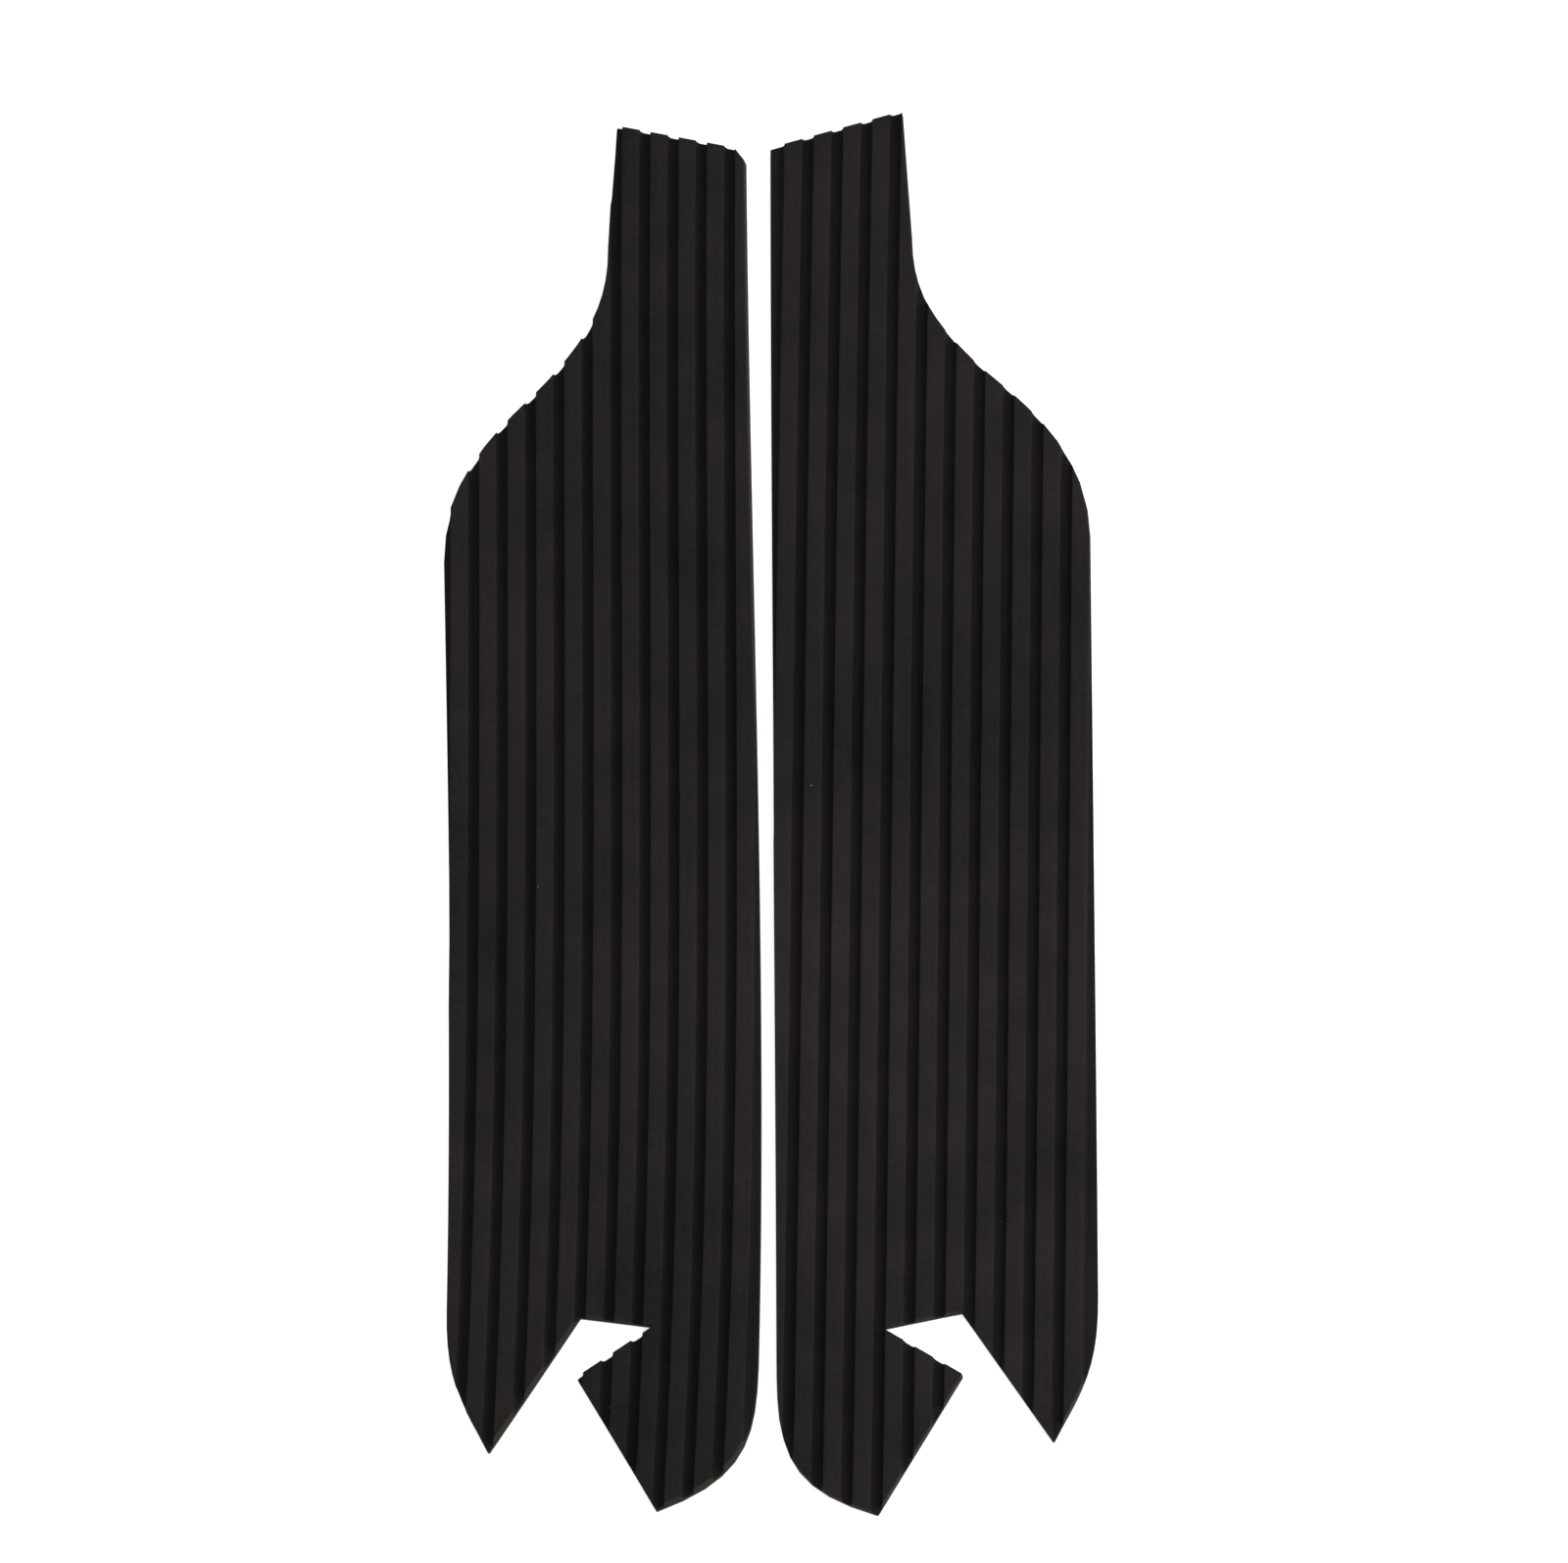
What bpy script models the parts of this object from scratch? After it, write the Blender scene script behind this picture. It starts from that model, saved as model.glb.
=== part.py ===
"""A left and right pair of peel-and-stick ribbed foam traction mats, face up on their release liners.

Each mat is a black foam base sheet with separate foam ribs bonded along it, an adhesive film under
the sheet and a paper liner under the film. The outline has a narrow neck, a shoulder, a straight
body and a tail with a dart between two lobes. The outlines mirror each other across the YZ plane.
The ribs of both mats are cut from ribbed sheet, and they lean the same way in both.

Metres, +Z up, +Y towards the necks, origin on the floor midway between the mats.
"""
import math

import bmesh
import bpy
from mathutils import Matrix, Vector

# Plan of one mat: x runs outwards from the straight inner edge, y up from the inner lobe's tip
MAT_LENGTH = 0.921
BODY_WIDTH = 0.1969
TAIL_WIDTH = 0.1957
PAIR_GAP = 0.012

NECK_TOP_WIDTH = 0.0822
NECK_FOOT_WIDTH = 0.0880
NECK_LENGTH = 0.0832
NECK_TOP_DROP = 0.0205

SHOULDER_LENGTH = 0.2055
SHOULDER_BEND_OUT = 0.0395
SHOULDER_BEND_DOWN = 0.0876
SHOULDER_ANGLE = math.radians(47.7)
SHOULDER_HOLLOW_TOP_PULL = 0.040
SHOULDER_HOLLOW_FOOT_PULL = 0.0345
SHOULDER_ROUND_TOP_PULL = 0.0265
SHOULDER_ROUND_FOOT_PULL = 0.0625

INNER_CURVE_HEIGHT = 0.105
INNER_CURVE_TOP_PULL = 0.055
INNER_CURVE_TIP_PULL = 0.0641
INNER_CURVE_TIP_ANGLE = math.radians(161.9)

DART_APEX_IN = 0.0660
DART_TOP_CUT = 0.0474
DART_TOP_ANGLE = math.radians(10.4)
DART_LOWER_CUT = 0.0568
DART_LOWER_ANGLE = math.radians(-34.1)
INNER_LOBE_CUT = 0.1011
INNER_LOBE_ANGLE = math.radians(-120.9)
OUTER_LOBE_CUT = 0.1011
OUTER_LOBE_ANGLE = math.radians(-56.8)

OUTER_CURVE_HEIGHT = 0.1344
OUTER_CURVE_TOP_PULL = 0.0433
OUTER_CURVE_TIP_PULL = 0.0371
OUTER_CURVE_TIP_ANGLE = math.radians(60.2)

# Layers, from the floor up, with the bond line that parts each from the next
LINER_THICKNESS = 0.0003
FILM_THICKNESS = 0.0003
BASE_THICKNESS = 0.0020
RIB_HEIGHT = 0.0042
BOND_LINE = 0.0003

# Ribs: each mat's first groove is measured from its inner edge, level with the dart's apex
RIB_WIDTH = 0.0112
GROOVE_WIDTH = 0.0070
RIB_EDGE_RADIUS = 0.0009
RIB_EDGE_STEPS = 3
LEFT_FIRST_GROOVE = 0.0027
RIGHT_FIRST_GROOVE = 0.0083
LEFT_RIB_LEAN = math.radians(0.86)
RIGHT_RIB_LEAN = math.radians(1.13)

# An offcut of rib smaller than this, in cubic metres, or narrower than this falls away in the cutting
SMALLEST_STRIP = 2.0e-8
NARROWEST_STRIP = 0.005

# Fineness of the drawn curves, weld distance, and how far a trimming solid stands past the ribs
CURVE_STEPS = 10
WELD = 0.00001
TRIM_MARGIN = 0.002

RIB_PITCH = RIB_WIDTH + GROOVE_WIDTH
FILM_BOTTOM = LINER_THICKNESS + BOND_LINE
BASE_BOTTOM = FILM_BOTTOM + FILM_THICKNESS + BOND_LINE
RIB_BOTTOM = BASE_BOTTOM + BASE_THICKNESS + BOND_LINE
LEFT, RIGHT = -1, 1
SIDE_NAMES = {LEFT: "left", RIGHT: "right"}
FIRST_GROOVES = {LEFT: LEFT_FIRST_GROOVE, RIGHT: RIGHT_FIRST_GROOVE}
RIB_LEANS = {LEFT: LEFT_RIB_LEAN, RIGHT: RIGHT_RIB_LEAN}

# Colours and surface values: base colour, roughness
FINISHES = {
    "rib_foam": ((0.021, 0.019, 0.018, 1.0), 0.75),
    "base_foam": ((0.012, 0.011, 0.011, 1.0), 0.85),
    "adhesive_film": ((0.62, 0.52, 0.34, 1.0), 0.35),
    "liner_paper": ((0.56, 0.42, 0.26, 1.0), 0.60),
}


def clear_scene():
    """Removes whatever the file holds at the start."""
    for old in list(bpy.data.objects):
        bpy.data.objects.remove(old, do_unlink=True)


def new_collection(name):
    """A collection linked to the scene."""
    group = bpy.data.collections.new(name)
    bpy.context.scene.collection.children.link(group)
    return group


def new_material(name):
    """A Principled material from the finishes table."""
    colour, roughness = FINISHES[name]
    material = bpy.data.materials.new(name)
    material.use_nodes = True
    shader = material.node_tree.nodes["Principled BSDF"]
    shader.inputs["Base Color"].default_value = colour
    shader.inputs["Roughness"].default_value = roughness
    shader.inputs["Metallic"].default_value = 0.0
    return material


def polar(length, angle):
    """A plan vector of this length and direction."""
    return Vector((length * math.cos(angle), length * math.sin(angle)))


def dart_apex():
    """The dart's apex in plan: x outwards from the inner edge, y up from the inner lobe's tip."""
    foot_height = -polar(INNER_LOBE_CUT, INNER_LOBE_ANGLE).y
    return Vector((DART_APEX_IN, foot_height - polar(DART_LOWER_CUT, DART_LOWER_ANGLE).y))


def mat_outline():
    """The closed outline of one mat as (point, handle before, handle after); None is a straight side.

    x is measured outwards from the inner edge and y from the middle of the length.
    """
    apex = dart_apex()
    dart_foot = apex + polar(DART_LOWER_CUT, DART_LOWER_ANGLE)
    inner_tip = dart_foot + polar(INNER_LOBE_CUT, INNER_LOBE_ANGLE)
    dart_head = apex + polar(DART_TOP_CUT, DART_TOP_ANGLE)
    outer_tip = dart_head + polar(OUTER_LOBE_CUT, OUTER_LOBE_ANGLE)
    inner_side = Vector((0.0, INNER_CURVE_HEIGHT))
    outer_side = Vector((TAIL_WIDTH, OUTER_CURVE_HEIGHT))

    neck_outer = Vector((NECK_TOP_WIDTH, MAT_LENGTH))
    neck_inner = Vector((0.0, MAT_LENGTH - NECK_TOP_DROP))
    neck_foot = Vector((NECK_FOOT_WIDTH, MAT_LENGTH - NECK_LENGTH))
    bend = neck_foot + Vector((SHOULDER_BEND_OUT, -SHOULDER_BEND_DOWN))
    shoulder_foot = Vector((BODY_WIDTH, neck_foot.y - SHOULDER_LENGTH))

    up = Vector((0.0, 1.0))
    slope = polar(1.0, -SHOULDER_ANGLE)
    knots = [
        (neck_inner, None, None),
        (inner_side, None, inner_side - up * INNER_CURVE_TOP_PULL),
        (inner_tip, inner_tip + polar(INNER_CURVE_TIP_PULL, INNER_CURVE_TIP_ANGLE), None),
        (dart_foot, None, None),
        (apex, None, None),
        (dart_head, None, None),
        (outer_tip, None, outer_tip + polar(OUTER_CURVE_TIP_PULL, OUTER_CURVE_TIP_ANGLE)),
        (outer_side, outer_side - up * OUTER_CURVE_TOP_PULL, None),
        (shoulder_foot, None, shoulder_foot + up * SHOULDER_ROUND_FOOT_PULL),
        (bend, bend + slope * SHOULDER_ROUND_TOP_PULL, bend - slope * SHOULDER_HOLLOW_FOOT_PULL),
        (neck_foot, neck_foot - up * SHOULDER_HOLLOW_TOP_PULL, None),
        (neck_outer, None, None),
    ]
    middle = Vector((0.0, MAT_LENGTH / 2))
    return [tuple(None if p is None else p - middle for p in knot) for knot in knots]


def outline_sheet(name, side, bottom, thickness):
    """A flat sheet with the mat's outline, its underside at this height."""
    curve = bpy.data.curves.new(name, "CURVE")
    curve.dimensions = "2D"
    curve.fill_mode = "BOTH"
    curve.extrude = thickness / 2
    curve.resolution_u = CURVE_STEPS
    curve.render_resolution_u = CURVE_STEPS
    knots = mat_outline()
    spline = curve.splines.new("BEZIER")
    spline.bezier_points.add(len(knots) - 1)
    spline.use_cyclic_u = True
    for knot, (point, before, after) in zip(spline.bezier_points, knots):
        knot.co = (side * point.x, point.y, 0.0)
        knot.handle_left_type = "VECTOR" if before is None else "FREE"
        knot.handle_right_type = "VECTOR" if after is None else "FREE"
        if before is not None:
            knot.handle_left = (side * before.x, before.y, 0.0)
        if after is not None:
            knot.handle_right = (side * after.x, after.y, 0.0)
    drawn = bpy.data.objects.new(name, curve)
    bpy.context.scene.collection.objects.link(drawn)
    sheet = evaluated_mesh(drawn, Matrix.Translation((0.0, 0.0, bottom + thickness / 2)))
    bpy.data.objects.remove(drawn)
    bpy.data.curves.remove(curve)
    return sheet


def evaluated_mesh(source, move=None):
    """The mesh that an object evaluates to, moved if asked, welded and facing out."""
    bpy.context.view_layer.update()
    depsgraph = bpy.context.evaluated_depsgraph_get()
    mesh = bpy.data.meshes.new_from_object(source.evaluated_get(depsgraph))
    body = bmesh.new()
    body.from_mesh(mesh)
    if move is not None:
        bmesh.ops.transform(body, matrix=move, verts=body.verts)
    bmesh.ops.remove_doubles(body, verts=body.verts, dist=WELD)
    bmesh.ops.recalc_face_normals(body, faces=body.faces)
    body.to_mesh(mesh)
    body.free()
    return mesh


def rib_bar(centre_x, lean):
    """One straight rib, longer than the mat, with rounded top edges and this lean."""
    body = bmesh.new()
    length = MAT_LENGTH + 2 * RIB_PITCH
    bmesh.ops.create_cube(body, size=1.0)
    bmesh.ops.scale(body, vec=(RIB_WIDTH, length, RIB_HEIGHT), verts=body.verts)
    crown = [e for e in body.edges if all(v.co.z > 0 for v in e.verts) and e.calc_length() > length / 2]
    radius = min(RIB_EDGE_RADIUS, RIB_WIDTH / 3, RIB_HEIGHT / 2)
    bmesh.ops.bevel(body, geom=crown, offset=radius, segments=RIB_EDGE_STEPS, profile=0.5, affect="EDGES")
    turn = Matrix.Rotation(-lean, 4, "Z")
    place = Matrix.Translation((centre_x, 0.0, RIB_BOTTOM + RIB_HEIGHT / 2))
    bmesh.ops.transform(body, matrix=place @ turn, verts=body.verts)
    mesh = bpy.data.meshes.new("rib_bar")
    body.to_mesh(mesh)
    body.free()
    return mesh


def breadth(body, lean):
    """How wide a strip is, measured square to ribs of this lean."""
    square = Vector((math.cos(lean), -math.sin(lean), 0.0))
    reach = [square.dot(vert.co) for vert in body.verts]
    return max(reach) - min(reach)


def loose_parts(mesh, lean):
    """The connected bodies of a rib, each a mesh of its own, from the neck to the tail."""
    whole = bmesh.new()
    whole.from_mesh(mesh)
    whole.verts.ensure_lookup_table()
    left = set(range(len(whole.verts)))
    found = []
    while left:
        island = {left.pop()}
        front = list(island)
        while front:
            vert = whole.verts[front.pop()]
            near = {e.other_vert(vert).index for e in vert.link_edges} - island
            island |= near
            front.extend(near)
        left -= island
        body = whole.copy()
        outside = [v for v in body.verts if v.index not in island]
        bmesh.ops.delete(body, geom=outside, context="VERTS")
        if body.calc_volume() > SMALLEST_STRIP and breadth(body, lean) > NARROWEST_STRIP:
            part = bpy.data.meshes.new("strip")
            body.to_mesh(part)
            found.append((max(v.co.y for v in body.verts), part))
        body.free()
    whole.free()
    return [part for top, part in sorted(found, key=lambda item: -item[0])]


def rib_centres(side):
    """The ribs' middles at the mat's half length, from the inner edge outwards."""
    slope = math.tan(RIB_LEANS[side])
    reach = slope * MAT_LENGTH / 2 + RIB_PITCH
    drift = side * slope * (MAT_LENGTH / 2 - dart_apex().y)
    first = FIRST_GROOVES[side] + drift - RIB_PITCH / 2
    start = math.ceil((-reach - first) / RIB_PITCH)
    stop = math.floor((max(BODY_WIDTH, TAIL_WIDTH) + reach - first) / RIB_PITCH)
    return [side * (first + k * RIB_PITCH) for k in range(start, stop + 1)]


def add_part(name, mesh, material, parent, parts, place=(0.0, 0.0, 0.0)):
    """One named sub-part, placed in the frame of the empty that carries it."""
    part = bpy.data.objects.new(name, mesh)
    mesh.name = name
    mesh.materials.clear()
    mesh.materials.append(material)
    part.parent = parent
    part.location = place
    parts.objects.link(part)


def add_ribs(side, parent, material, parts, cutters):
    """The rib strips of one mat: straight ribs trimmed to the outline, numbered outwards."""
    name = SIDE_NAMES[side]
    height = RIB_HEIGHT + 2 * TRIM_MARGIN
    cutter_mesh = outline_sheet(name + "_trim", side, RIB_BOTTOM - TRIM_MARGIN, height)
    cutter = bpy.data.objects.new(name + "_trim", cutter_mesh)
    cutter.parent = parent
    cutter.hide_render = True
    cutter.display_type = "WIRE"
    cutters.objects.link(cutter)
    lean = RIB_LEANS[side]
    number = 0
    for centre_x in rib_centres(side):
        bar = bpy.data.objects.new("bar", rib_bar(centre_x, lean))
        bar.parent = parent
        cutters.objects.link(bar)
        trim = bar.modifiers.new("trim", "BOOLEAN")
        trim.operation = "INTERSECT"
        trim.solver = "EXACT"
        trim.object = cutter
        strips = loose_parts(evaluated_mesh(bar), lean)
        bpy.data.objects.remove(bar)
        if not strips:
            continue
        number += 1
        for order, strip in enumerate(strips):
            ending = "" if order == 0 else "_tail" if order == 1 else "_tail_%d" % order
            add_part("%s_rib_%02d%s" % (name, number, ending), strip, material, parent, parts)


def add_empty(name, place, parts):
    """An empty that carries a group of sub-parts."""
    empty = bpy.data.objects.new(name, None)
    empty.location = place
    parts.objects.link(empty)
    return empty


def build():
    """Makes both mats and their liners."""
    clear_scene()
    parts = new_collection("ribbed_traction_mats")
    cutters = new_collection("cutters")
    materials = {name: new_material(name) for name in FINISHES}
    liners = add_empty("release_liners", (0.0, 0.0, 0.0), parts)
    for side, name in SIDE_NAMES.items():
        place = (side * PAIR_GAP / 2, 0.0, 0.0)
        paper = outline_sheet("paper", side, 0.0, LINER_THICKNESS)
        add_part(name + "_release_liner", paper, materials["liner_paper"], liners, parts, place)
        mat = add_empty(name + "_mat", place, parts)
        film = outline_sheet("film", side, FILM_BOTTOM, FILM_THICKNESS)
        add_part(name + "_adhesive_film", film, materials["adhesive_film"], mat, parts)
        base = outline_sheet("base", side, BASE_BOTTOM, BASE_THICKNESS)
        add_part(name + "_base_sheet", base, materials["base_foam"], mat, parts)
        add_ribs(side, mat, materials["rib_foam"], parts, cutters)


build()
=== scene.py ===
# %% [markdown]
# # Ribbed foam traction mats
# The object is a left and a right grip mat. Each one is a black foam sheet with a row of foam ribs
# along it, a film of adhesive underneath and a paper liner under that. This lesson dresses the plain
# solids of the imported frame: soft foam shapes come first, then finishes, floor, light and camera.
# Every size is measured from the frame, so nothing here can drift away from it.

# %% Load the frame
import math

import bmesh
import bpy
import numpy as np
from mathutils import Matrix, Vector


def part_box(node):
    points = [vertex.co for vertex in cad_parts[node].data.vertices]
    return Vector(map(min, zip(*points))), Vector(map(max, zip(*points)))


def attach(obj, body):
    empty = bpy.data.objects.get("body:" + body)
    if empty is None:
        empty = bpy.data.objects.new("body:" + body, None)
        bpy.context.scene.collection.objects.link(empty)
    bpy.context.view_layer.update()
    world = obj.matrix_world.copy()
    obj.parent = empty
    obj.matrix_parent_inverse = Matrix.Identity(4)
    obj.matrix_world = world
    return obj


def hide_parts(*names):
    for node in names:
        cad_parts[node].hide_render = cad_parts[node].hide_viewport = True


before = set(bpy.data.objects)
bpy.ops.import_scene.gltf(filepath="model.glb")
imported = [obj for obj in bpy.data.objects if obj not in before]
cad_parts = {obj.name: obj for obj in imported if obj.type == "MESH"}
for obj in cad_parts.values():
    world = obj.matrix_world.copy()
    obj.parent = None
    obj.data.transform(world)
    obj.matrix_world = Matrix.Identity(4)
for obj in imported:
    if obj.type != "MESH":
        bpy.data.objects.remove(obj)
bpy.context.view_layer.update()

SIDES = ("left", "right")

# %% [markdown]
# ## Measuring the outline
# Both foam and paper follow one cut line. A sheet of the frame holds it as the border of its top face.
# The sheet's triangles are loose, so a copy is merged first. The border is then walked edge by edge
# into a ring of plan points, which is all that the later cells need.


# %% Read the cut line of each mat
MERGE = 0.00002
FACING_UP = 0.5


def merged_copy(node):
    """A working copy of a node's mesh with its loose triangles joined up."""
    body = bmesh.new()
    body.from_mesh(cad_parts[node].data)
    bmesh.ops.remove_doubles(body, verts=body.verts, dist=MERGE)
    return body


def cut_line(node):
    """The border of a sheet's top face as plan points, anticlockwise."""
    body = merged_copy(node)
    top = {face for face in body.faces if face.normal.z > FACING_UP}
    border = [e for e in body.edges if sum(face in top for face in e.link_faces) == 1]
    beside = {}
    for edge in border:
        for vert in edge.verts:
            beside.setdefault(vert, []).append(edge.other_vert(vert))
    start = next(iter(beside))
    ring = [start, beside[start][0]]
    while True:
        ahead = [vert for vert in beside[ring[-1]] if vert != ring[-2]][0]
        if ahead == start:
            break
        ring.append(ahead)
    points = np.array([(vert.co.x, vert.co.y) for vert in ring])
    body.free()
    following = np.roll(points, -1, axis=0)
    area = np.sum(points[:, 0] * following[:, 1] - points[:, 1] * following[:, 0])
    return points if area > 0 else points[::-1]


def clipped(ring, corner, back_across, back_along):
    """The ring with one corner taken off, as far back along each of its two edges as given."""
    points = [Vector(point) for point in ring]
    at = min(range(len(points)), key=lambda i: (points[i] - Vector(corner)).length)
    before = points[at - 1] - points[at]
    after = points[(at + 1) % len(points)] - points[at]
    steps = (back_along, back_across) if abs(before.y) > abs(before.x) else (back_across, back_along)
    pair = [points[at] + before.normalized() * steps[0], points[at] + after.normalized() * steps[1]]
    return np.array(points[:at] + pair + points[at + 1:])


SHARP_TURN = math.radians(25.0)
CORNER_RADIUS = 0.001
CORNER_STEPS = 4
MOST_OF_EDGE = 0.45


def eased(ring):
    """The ring with a small round at every sharp corner, as a bent steel rule leaves it."""
    points = []
    for before, corner, after in zip(np.roll(ring, 1, axis=0), ring, np.roll(ring, -1, axis=0)):
        come = Vector(corner - before)
        go = Vector(after - corner)
        turn = -come.angle_signed(go)
        if abs(turn) < SHARP_TURN:
            points.append(corner)
            continue
        reach = CORNER_RADIUS * math.tan(abs(turn) / 2)
        outward = (come.normalized() - go.normalized()).normalized()
        peak = Vector(corner) + outward * CORNER_RADIUS * (1 / math.cos(turn / 2) - 1)
        start = peak - come.normalized() * min(reach, MOST_OF_EDGE * come.length)
        end = peak + go.normalized() * min(reach, MOST_OF_EDGE * go.length)
        for share in np.linspace(0.0, 1.0, CORNER_STEPS):
            points.append(start.lerp(peak, share).lerp(peak.lerp(end, share), share))
    return np.array(points)


CELL = 0.006


def refined(ring):
    """The ring with points added until no two neighbours lie further apart than a cell."""
    points = []
    for here, ahead in zip(ring, np.roll(ring, -1, axis=0)):
        count = math.ceil(np.linalg.norm(ahead - here) / CELL)
        points += [here + (ahead - here) * step / count for step in range(count)]
    return np.array(points)


CLIP_ACROSS = 0.0064
CLIP_ALONG = 0.0072
CUT_LINES = {side: cut_line(side + "_base_sheet") for side in SIDES}
left_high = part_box("left_base_sheet")[1]
CUT_LINES["left"] = clipped(CUT_LINES["left"], (left_high.x, left_high.y), CLIP_ACROSS, CLIP_ALONG)
for side in SIDES:
    CUT_LINES[side] = refined(eased(CUT_LINES[side]))
    print(side, "cut line:", len(CUT_LINES[side]), "points")

# %% [markdown]
# ## Measuring the ribs
# The ribs of a mat are one lattice: same width, same pitch, same slight lean. The side walls of two
# neighbouring whole ribs give all of it, because a wall's normal is the lean and its distance from the
# origin is its place.

# %% Read the rib lattice of each mat
WALL_FLATNESS = 0.1
WALL_SQUARENESS = 0.99


def rib_wall(node, way):
    """The mean normal of a rib's walls that face this way along X, and their distance from the origin."""
    body = merged_copy(node)
    walls = [f for f in body.faces if abs(f.normal.z) < WALL_FLATNESS and way * f.normal.x > WALL_SQUARENESS]
    normal = sum((way * f.normal * f.calc_area() for f in walls), Vector()).normalized()
    area = sum(f.calc_area() for f in walls)
    distance = sum(normal.dot(f.calc_center_median()) * f.calc_area() for f in walls) / area
    body.free()
    return normal, distance


def rib_line(node):
    """A rib's lean, its width and the place along X where its middle crosses the mat's half length."""
    normal, right = rib_wall(node, 1)
    left = rib_wall(node, -1)[1]
    lean = math.atan2(-normal.y, normal.x)
    return lean, right - left, (right + left) / 2 / math.cos(lean)


def rib_lattice(side):
    """The lattice of one mat, from two whole ribs side by side."""
    lean, width, first = rib_line(side + "_rib_03")
    second = rib_line(side + "_rib_04")[2]
    return {"lean": lean, "width": width, "pitch": abs(second - first), "anchor": first}


LATTICES = {side: rib_lattice(side) for side in SIDES}
for side in SIDES:
    print(side, "ribs:", {name: round(value, 5) for name, value in LATTICES[side].items()})

# %% [markdown]
# ## Wiring nodes from Python
# Finishes and Geometry Nodes trees are both made of nodes. A small Wire class stands for one output, and
# arithmetic on it adds Math nodes, so a pattern reads like a formula. Board.add makes every other node.


# %% The wiring helpers
class Wire:
    """One output of a node tree. Arithmetic on it adds Math nodes."""

    def __init__(self, board, socket):
        self.board = board
        self.socket = socket

    def maths(self, operation, first, second):
        return self.board.add("ShaderNodeMath", {"operation": operation}, {0: first, 1: second})

    def __add__(self, other):
        return self.maths("ADD", self, other)

    def __radd__(self, other):
        return self.maths("ADD", other, self)

    def __sub__(self, other):
        return self.maths("SUBTRACT", self, other)

    def __rsub__(self, other):
        return self.maths("SUBTRACT", other, self)

    def __mul__(self, other):
        return self.maths("MULTIPLY", self, other)

    def __rmul__(self, other):
        return self.maths("MULTIPLY", other, self)

    def __truediv__(self, other):
        return self.maths("DIVIDE", self, other)

    def __gt__(self, other):
        return self.maths("GREATER_THAN", self, other)

    def __lt__(self, other):
        return self.maths("LESS_THAN", self, other)

    def rise(self, low, high):
        """0 below low, 1 above high and a smooth step between; low may be the larger one."""
        settings = {"interpolation_type": "SMOOTHSTEP"}
        return self.board.add("ShaderNodeMapRange", settings, {0: self, 1: low, 2: high})


class Board:
    """A node tree that is being wired."""

    def __init__(self, tree):
        self.tree = tree

    def add(self, kind, settings=None, values=None, out=0):
        """Makes a node, applies its settings, fills its sockets and hands back one output."""
        node = self.tree.nodes.new(kind)
        for name, setting in (settings or {}).items():
            setattr(node, name, setting)
        for name, value in (values or {}).items():
            for one in value if isinstance(value, list) else [value]:
                if isinstance(one, Wire):
                    self.tree.links.new(one.socket, node.inputs[name])
                else:
                    node.inputs[name].default_value = one
        return None if out is None else Wire(self, node.outputs[out])


def new_group(name, inputs):
    """A Geometry Nodes tree with a mesh going in, these named inputs and a mesh coming out."""
    tree = bpy.data.node_groups.new(name, "GeometryNodeTree")
    tree.interface.new_socket("Mesh", in_out="INPUT", socket_type="NodeSocketGeometry")
    for label, kind in inputs.items():
        tree.interface.new_socket(label, in_out="INPUT", socket_type="NodeSocket" + kind)
    tree.interface.new_socket("Mesh", in_out="OUTPUT", socket_type="NodeSocketGeometry")
    board = Board(tree)
    entry = tree.nodes.new("NodeGroupInput")
    return board, {socket.name: Wire(board, socket) for socket in entry.outputs if socket.name}


def grown(tree, seed_mesh, values):
    """The plain mesh that a tree grows from a seed mesh with these input values."""
    holder = bpy.data.objects.new("holder", seed_mesh)
    bpy.context.scene.collection.objects.link(holder)
    modifier = holder.modifiers.new("grow", "NODES")
    modifier.node_group = tree
    sockets = [item for item in tree.interface.items_tree if item.in_out == "INPUT"]
    for socket in sockets:
        if socket.name in values:
            modifier[socket.identifier] = values[socket.name]
    bpy.context.view_layer.update()
    depsgraph = bpy.context.evaluated_depsgraph_get()
    mesh = bpy.data.meshes.new_from_object(holder.evaluated_get(depsgraph))
    bpy.data.objects.remove(holder)
    return mesh


print("wiring helpers ready")

# %% [markdown]
# ## Black foam
# Closed-cell foam is matte and very dark, yet never flat black: the skin has a fine grain, broad mottling
# from moulding, faint streaks along the sheet from the slitting blade, and a few specks of dust. Below a
# rib's crown the walls of the grooves get painted shade: a darker copy of the skin colour. Where the die went
# through, opened cells scatter more light and look paler. The cut walls carry an attribute named cut, and
# the height tells crown from groove, so one finish serves them all.


# %% Foam finishes
def stretched(board, place, along):
    """Coordinates multiplied axis by axis, so that a pattern runs long in one direction."""
    return board.add("ShaderNodeVectorMath", {"operation": "MULTIPLY"}, {0: place, 1: along})


def noise(board, place, per_metre, detail=2.0):
    """A soft random value around 0.5, with this many blotches to the metre."""
    values = {"Vector": place, "Scale": per_metre, "Detail": detail}
    return board.add("ShaderNodeTexNoise", None, values)


def blended(board, share, first, second):
    """A colour between two others."""
    settings = {"data_type": "RGBA"}
    return board.add("ShaderNodeMix", settings, {"Factor": share, 6: first, 7: second}, out=2)


def new_finish(name):
    """A material with its Principled shader and a board to wire it on."""
    material = bpy.data.materials.new(name)
    material.use_nodes = True
    return material, material.node_tree.nodes["Principled BSDF"], Board(material.node_tree)


def feed(board, shader, values):
    """Sets or links sockets of a shader."""
    for name, value in values.items():
        if isinstance(value, Wire):
            board.tree.links.new(value.socket, shader.inputs[name])
        else:
            shader.inputs[name].default_value = value


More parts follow.
